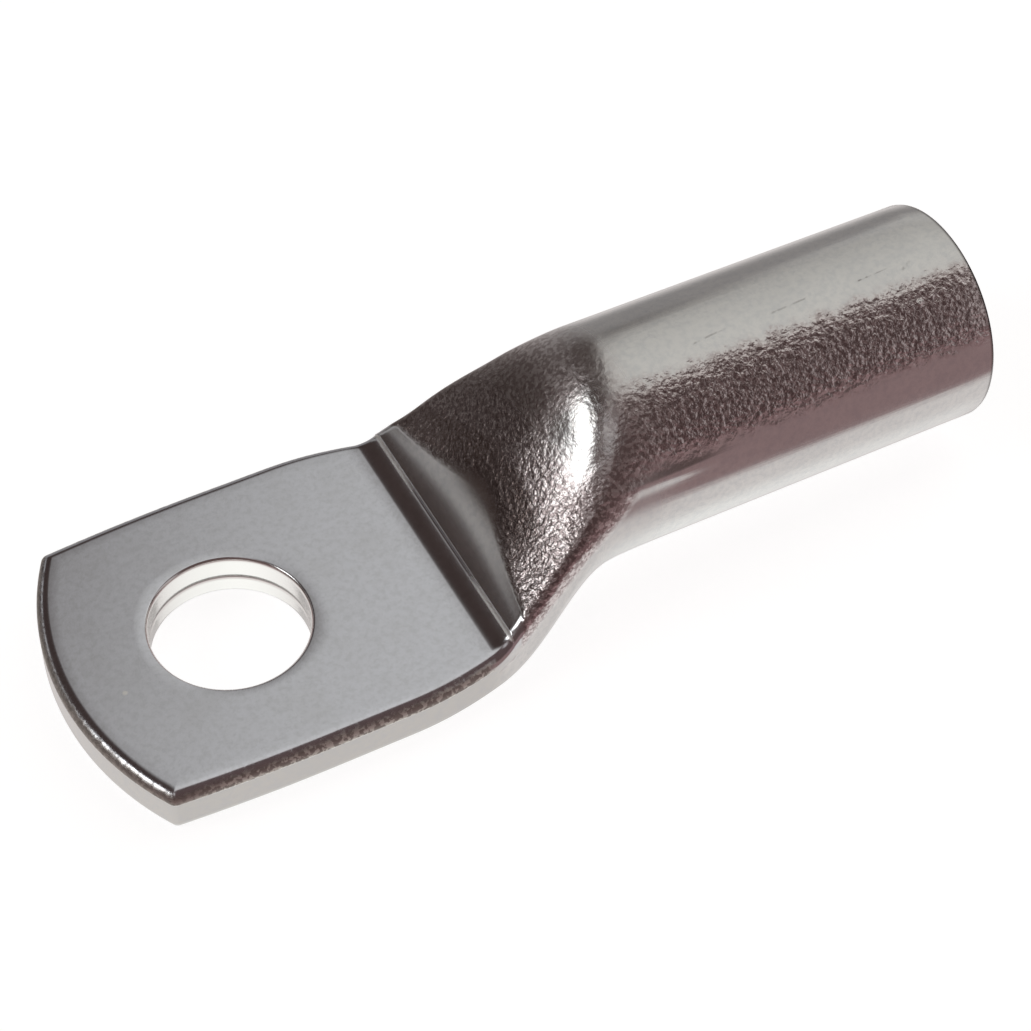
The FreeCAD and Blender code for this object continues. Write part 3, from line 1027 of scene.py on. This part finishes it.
def patch_light(g, x, y, elevation, azimuth, half_wide, middle, half_tall, soft, level):
    """One soft patch of light."""
    turn = math.radians(azimuth)
    ahead = g.add(g.times(x, math.cos(turn)), g.times(y, math.sin(turn)))
    aside = g.minus(g.times(y, math.cos(turn)), g.times(x, math.sin(turn)))
    off = g.math("ABSOLUTE", g.times(g.math("ARCTAN2", aside, ahead), DEGREES))
    rise = g.math("ABSOLUTE", g.minus(elevation, middle))
    wide = g.step(off, half_wide + soft / 2, half_wide - soft / 2)
    tall = g.step(rise, half_tall + soft / 2, half_tall - soft / 2)
    return g.scaled(NEUTRAL, g.times(wide, tall, level))


def seen_by_camera(g, others, camera, output):
    """Ends a tree with one shader for the camera and another for every other ray."""
    is_camera = g.node("ShaderNodeLightPath").outputs["Is Camera Ray"]
    inputs = {0: is_camera, 1: others.outputs[0], 2: camera.outputs[0]}
    g.filled(output, {0: g.filled("ShaderNodeMixShader", inputs).outputs[0]})


def light_world():
    """The room that the lug reflects, by fixed directions. The camera sees a white backdrop."""
    world = bpy.data.worlds.new("studio")
    scene.world = world
    world.use_nodes = True
    g = Graph(world.node_tree)
    x, y, z = g.parts(g.node("ShaderNodeTexCoord").outputs["Generated"])
    elevation = g.times(g.math("ARCSINE", z), DEGREES)
    light = room_light(g, x, y, elevation)
    light = g.vector_add(light, overhead_light(g, x, y, z, elevation))
    for patch in PATCHES:
        light = g.vector_add(light, patch_light(g, x, y, elevation, *patch))
    lights = g.filled("ShaderNodeBackground", {"Color": light})
    backdrop = g.filled("ShaderNodeBackground", {"Color": WHITE})
    seen_by_camera(g, lights, backdrop, "ShaderNodeOutputWorld")


# The floor: half its side and its middle in metres, its own colour, and the level that it glows at
FLOOR_HALF = 0.6
FLOOR_MIDDLE = (0.02, 0.0, -0.00005)
FLOOR_COLOUR = (0.5, 0.5, 0.5, 1.0)
FLOOR_GLOW = 0.87


def add_floor():
    """White floor that keeps a faint shadow. The metal looks past it, at the world's sheet."""
    signs = ((-1, -1), (1, -1), (1, 1), (-1, 1))
    corners = [(FLOOR_HALF * x, FLOOR_HALF * y, 0) for x, y in signs]
    mesh = bpy.data.meshes.new("floor")
    mesh.from_pydata(corners, [], [(0, 1, 2, 3)])
    floor = bpy.data.objects.new("floor", mesh)
    scene.collection.objects.link(floor)
    floor.location = FLOOR_MIDDLE
    material = bpy.data.materials.new("floor")
    material.use_nodes = True
    g = Graph(material.node_tree)
    matt = g.filled("ShaderNodeBsdfDiffuse", {"Color": FLOOR_COLOUR})
    glow = g.filled("ShaderNodeEmission", {"Strength": FLOOR_GLOW})
    both = g.filled("ShaderNodeAddShader", {0: matt.outputs[0], 1: glow.outputs[0]})
    clear = g.node("ShaderNodeBsdfTransparent")
    seen_by_camera(g, clear, both, "ShaderNodeOutputMaterial")
    floor.data.materials.append(material)


# The camera, fitted to the photograph: its axes, its place in metres, its lens and sensor in mm
CAMERA_RIGHT = (0.88051, -0.473053, 0.030377)
CAMERA_UP = (0.344108, 0.681943, 0.645401)
CAMERA_BACK = (-0.326025, -0.557829, 0.763239)
CAMERA_PLACE = (-0.044693, -0.120643, 0.168533)
CAMERA_LENS = 91.199
CAMERA_SENSOR = 36.0
CAMERA_NEAR = 0.01


def add_camera():
    camera = bpy.data.objects.new("camera", bpy.data.cameras.new("camera"))
    scene.collection.objects.link(camera)
    turn = Matrix((CAMERA_RIGHT, CAMERA_UP, CAMERA_BACK)).transposed().to_4x4()
    camera.matrix_world = Matrix.Translation(CAMERA_PLACE) @ turn
    camera.data.lens = CAMERA_LENS
    camera.data.sensor_width = CAMERA_SENSOR
    camera.data.clip_start = CAMERA_NEAR
    scene.camera = camera


scene.view_settings.view_transform = "Standard"
lug = build_lug()
lug.data.materials.append(tin_material())
light_world()
add_floor()
add_camera()
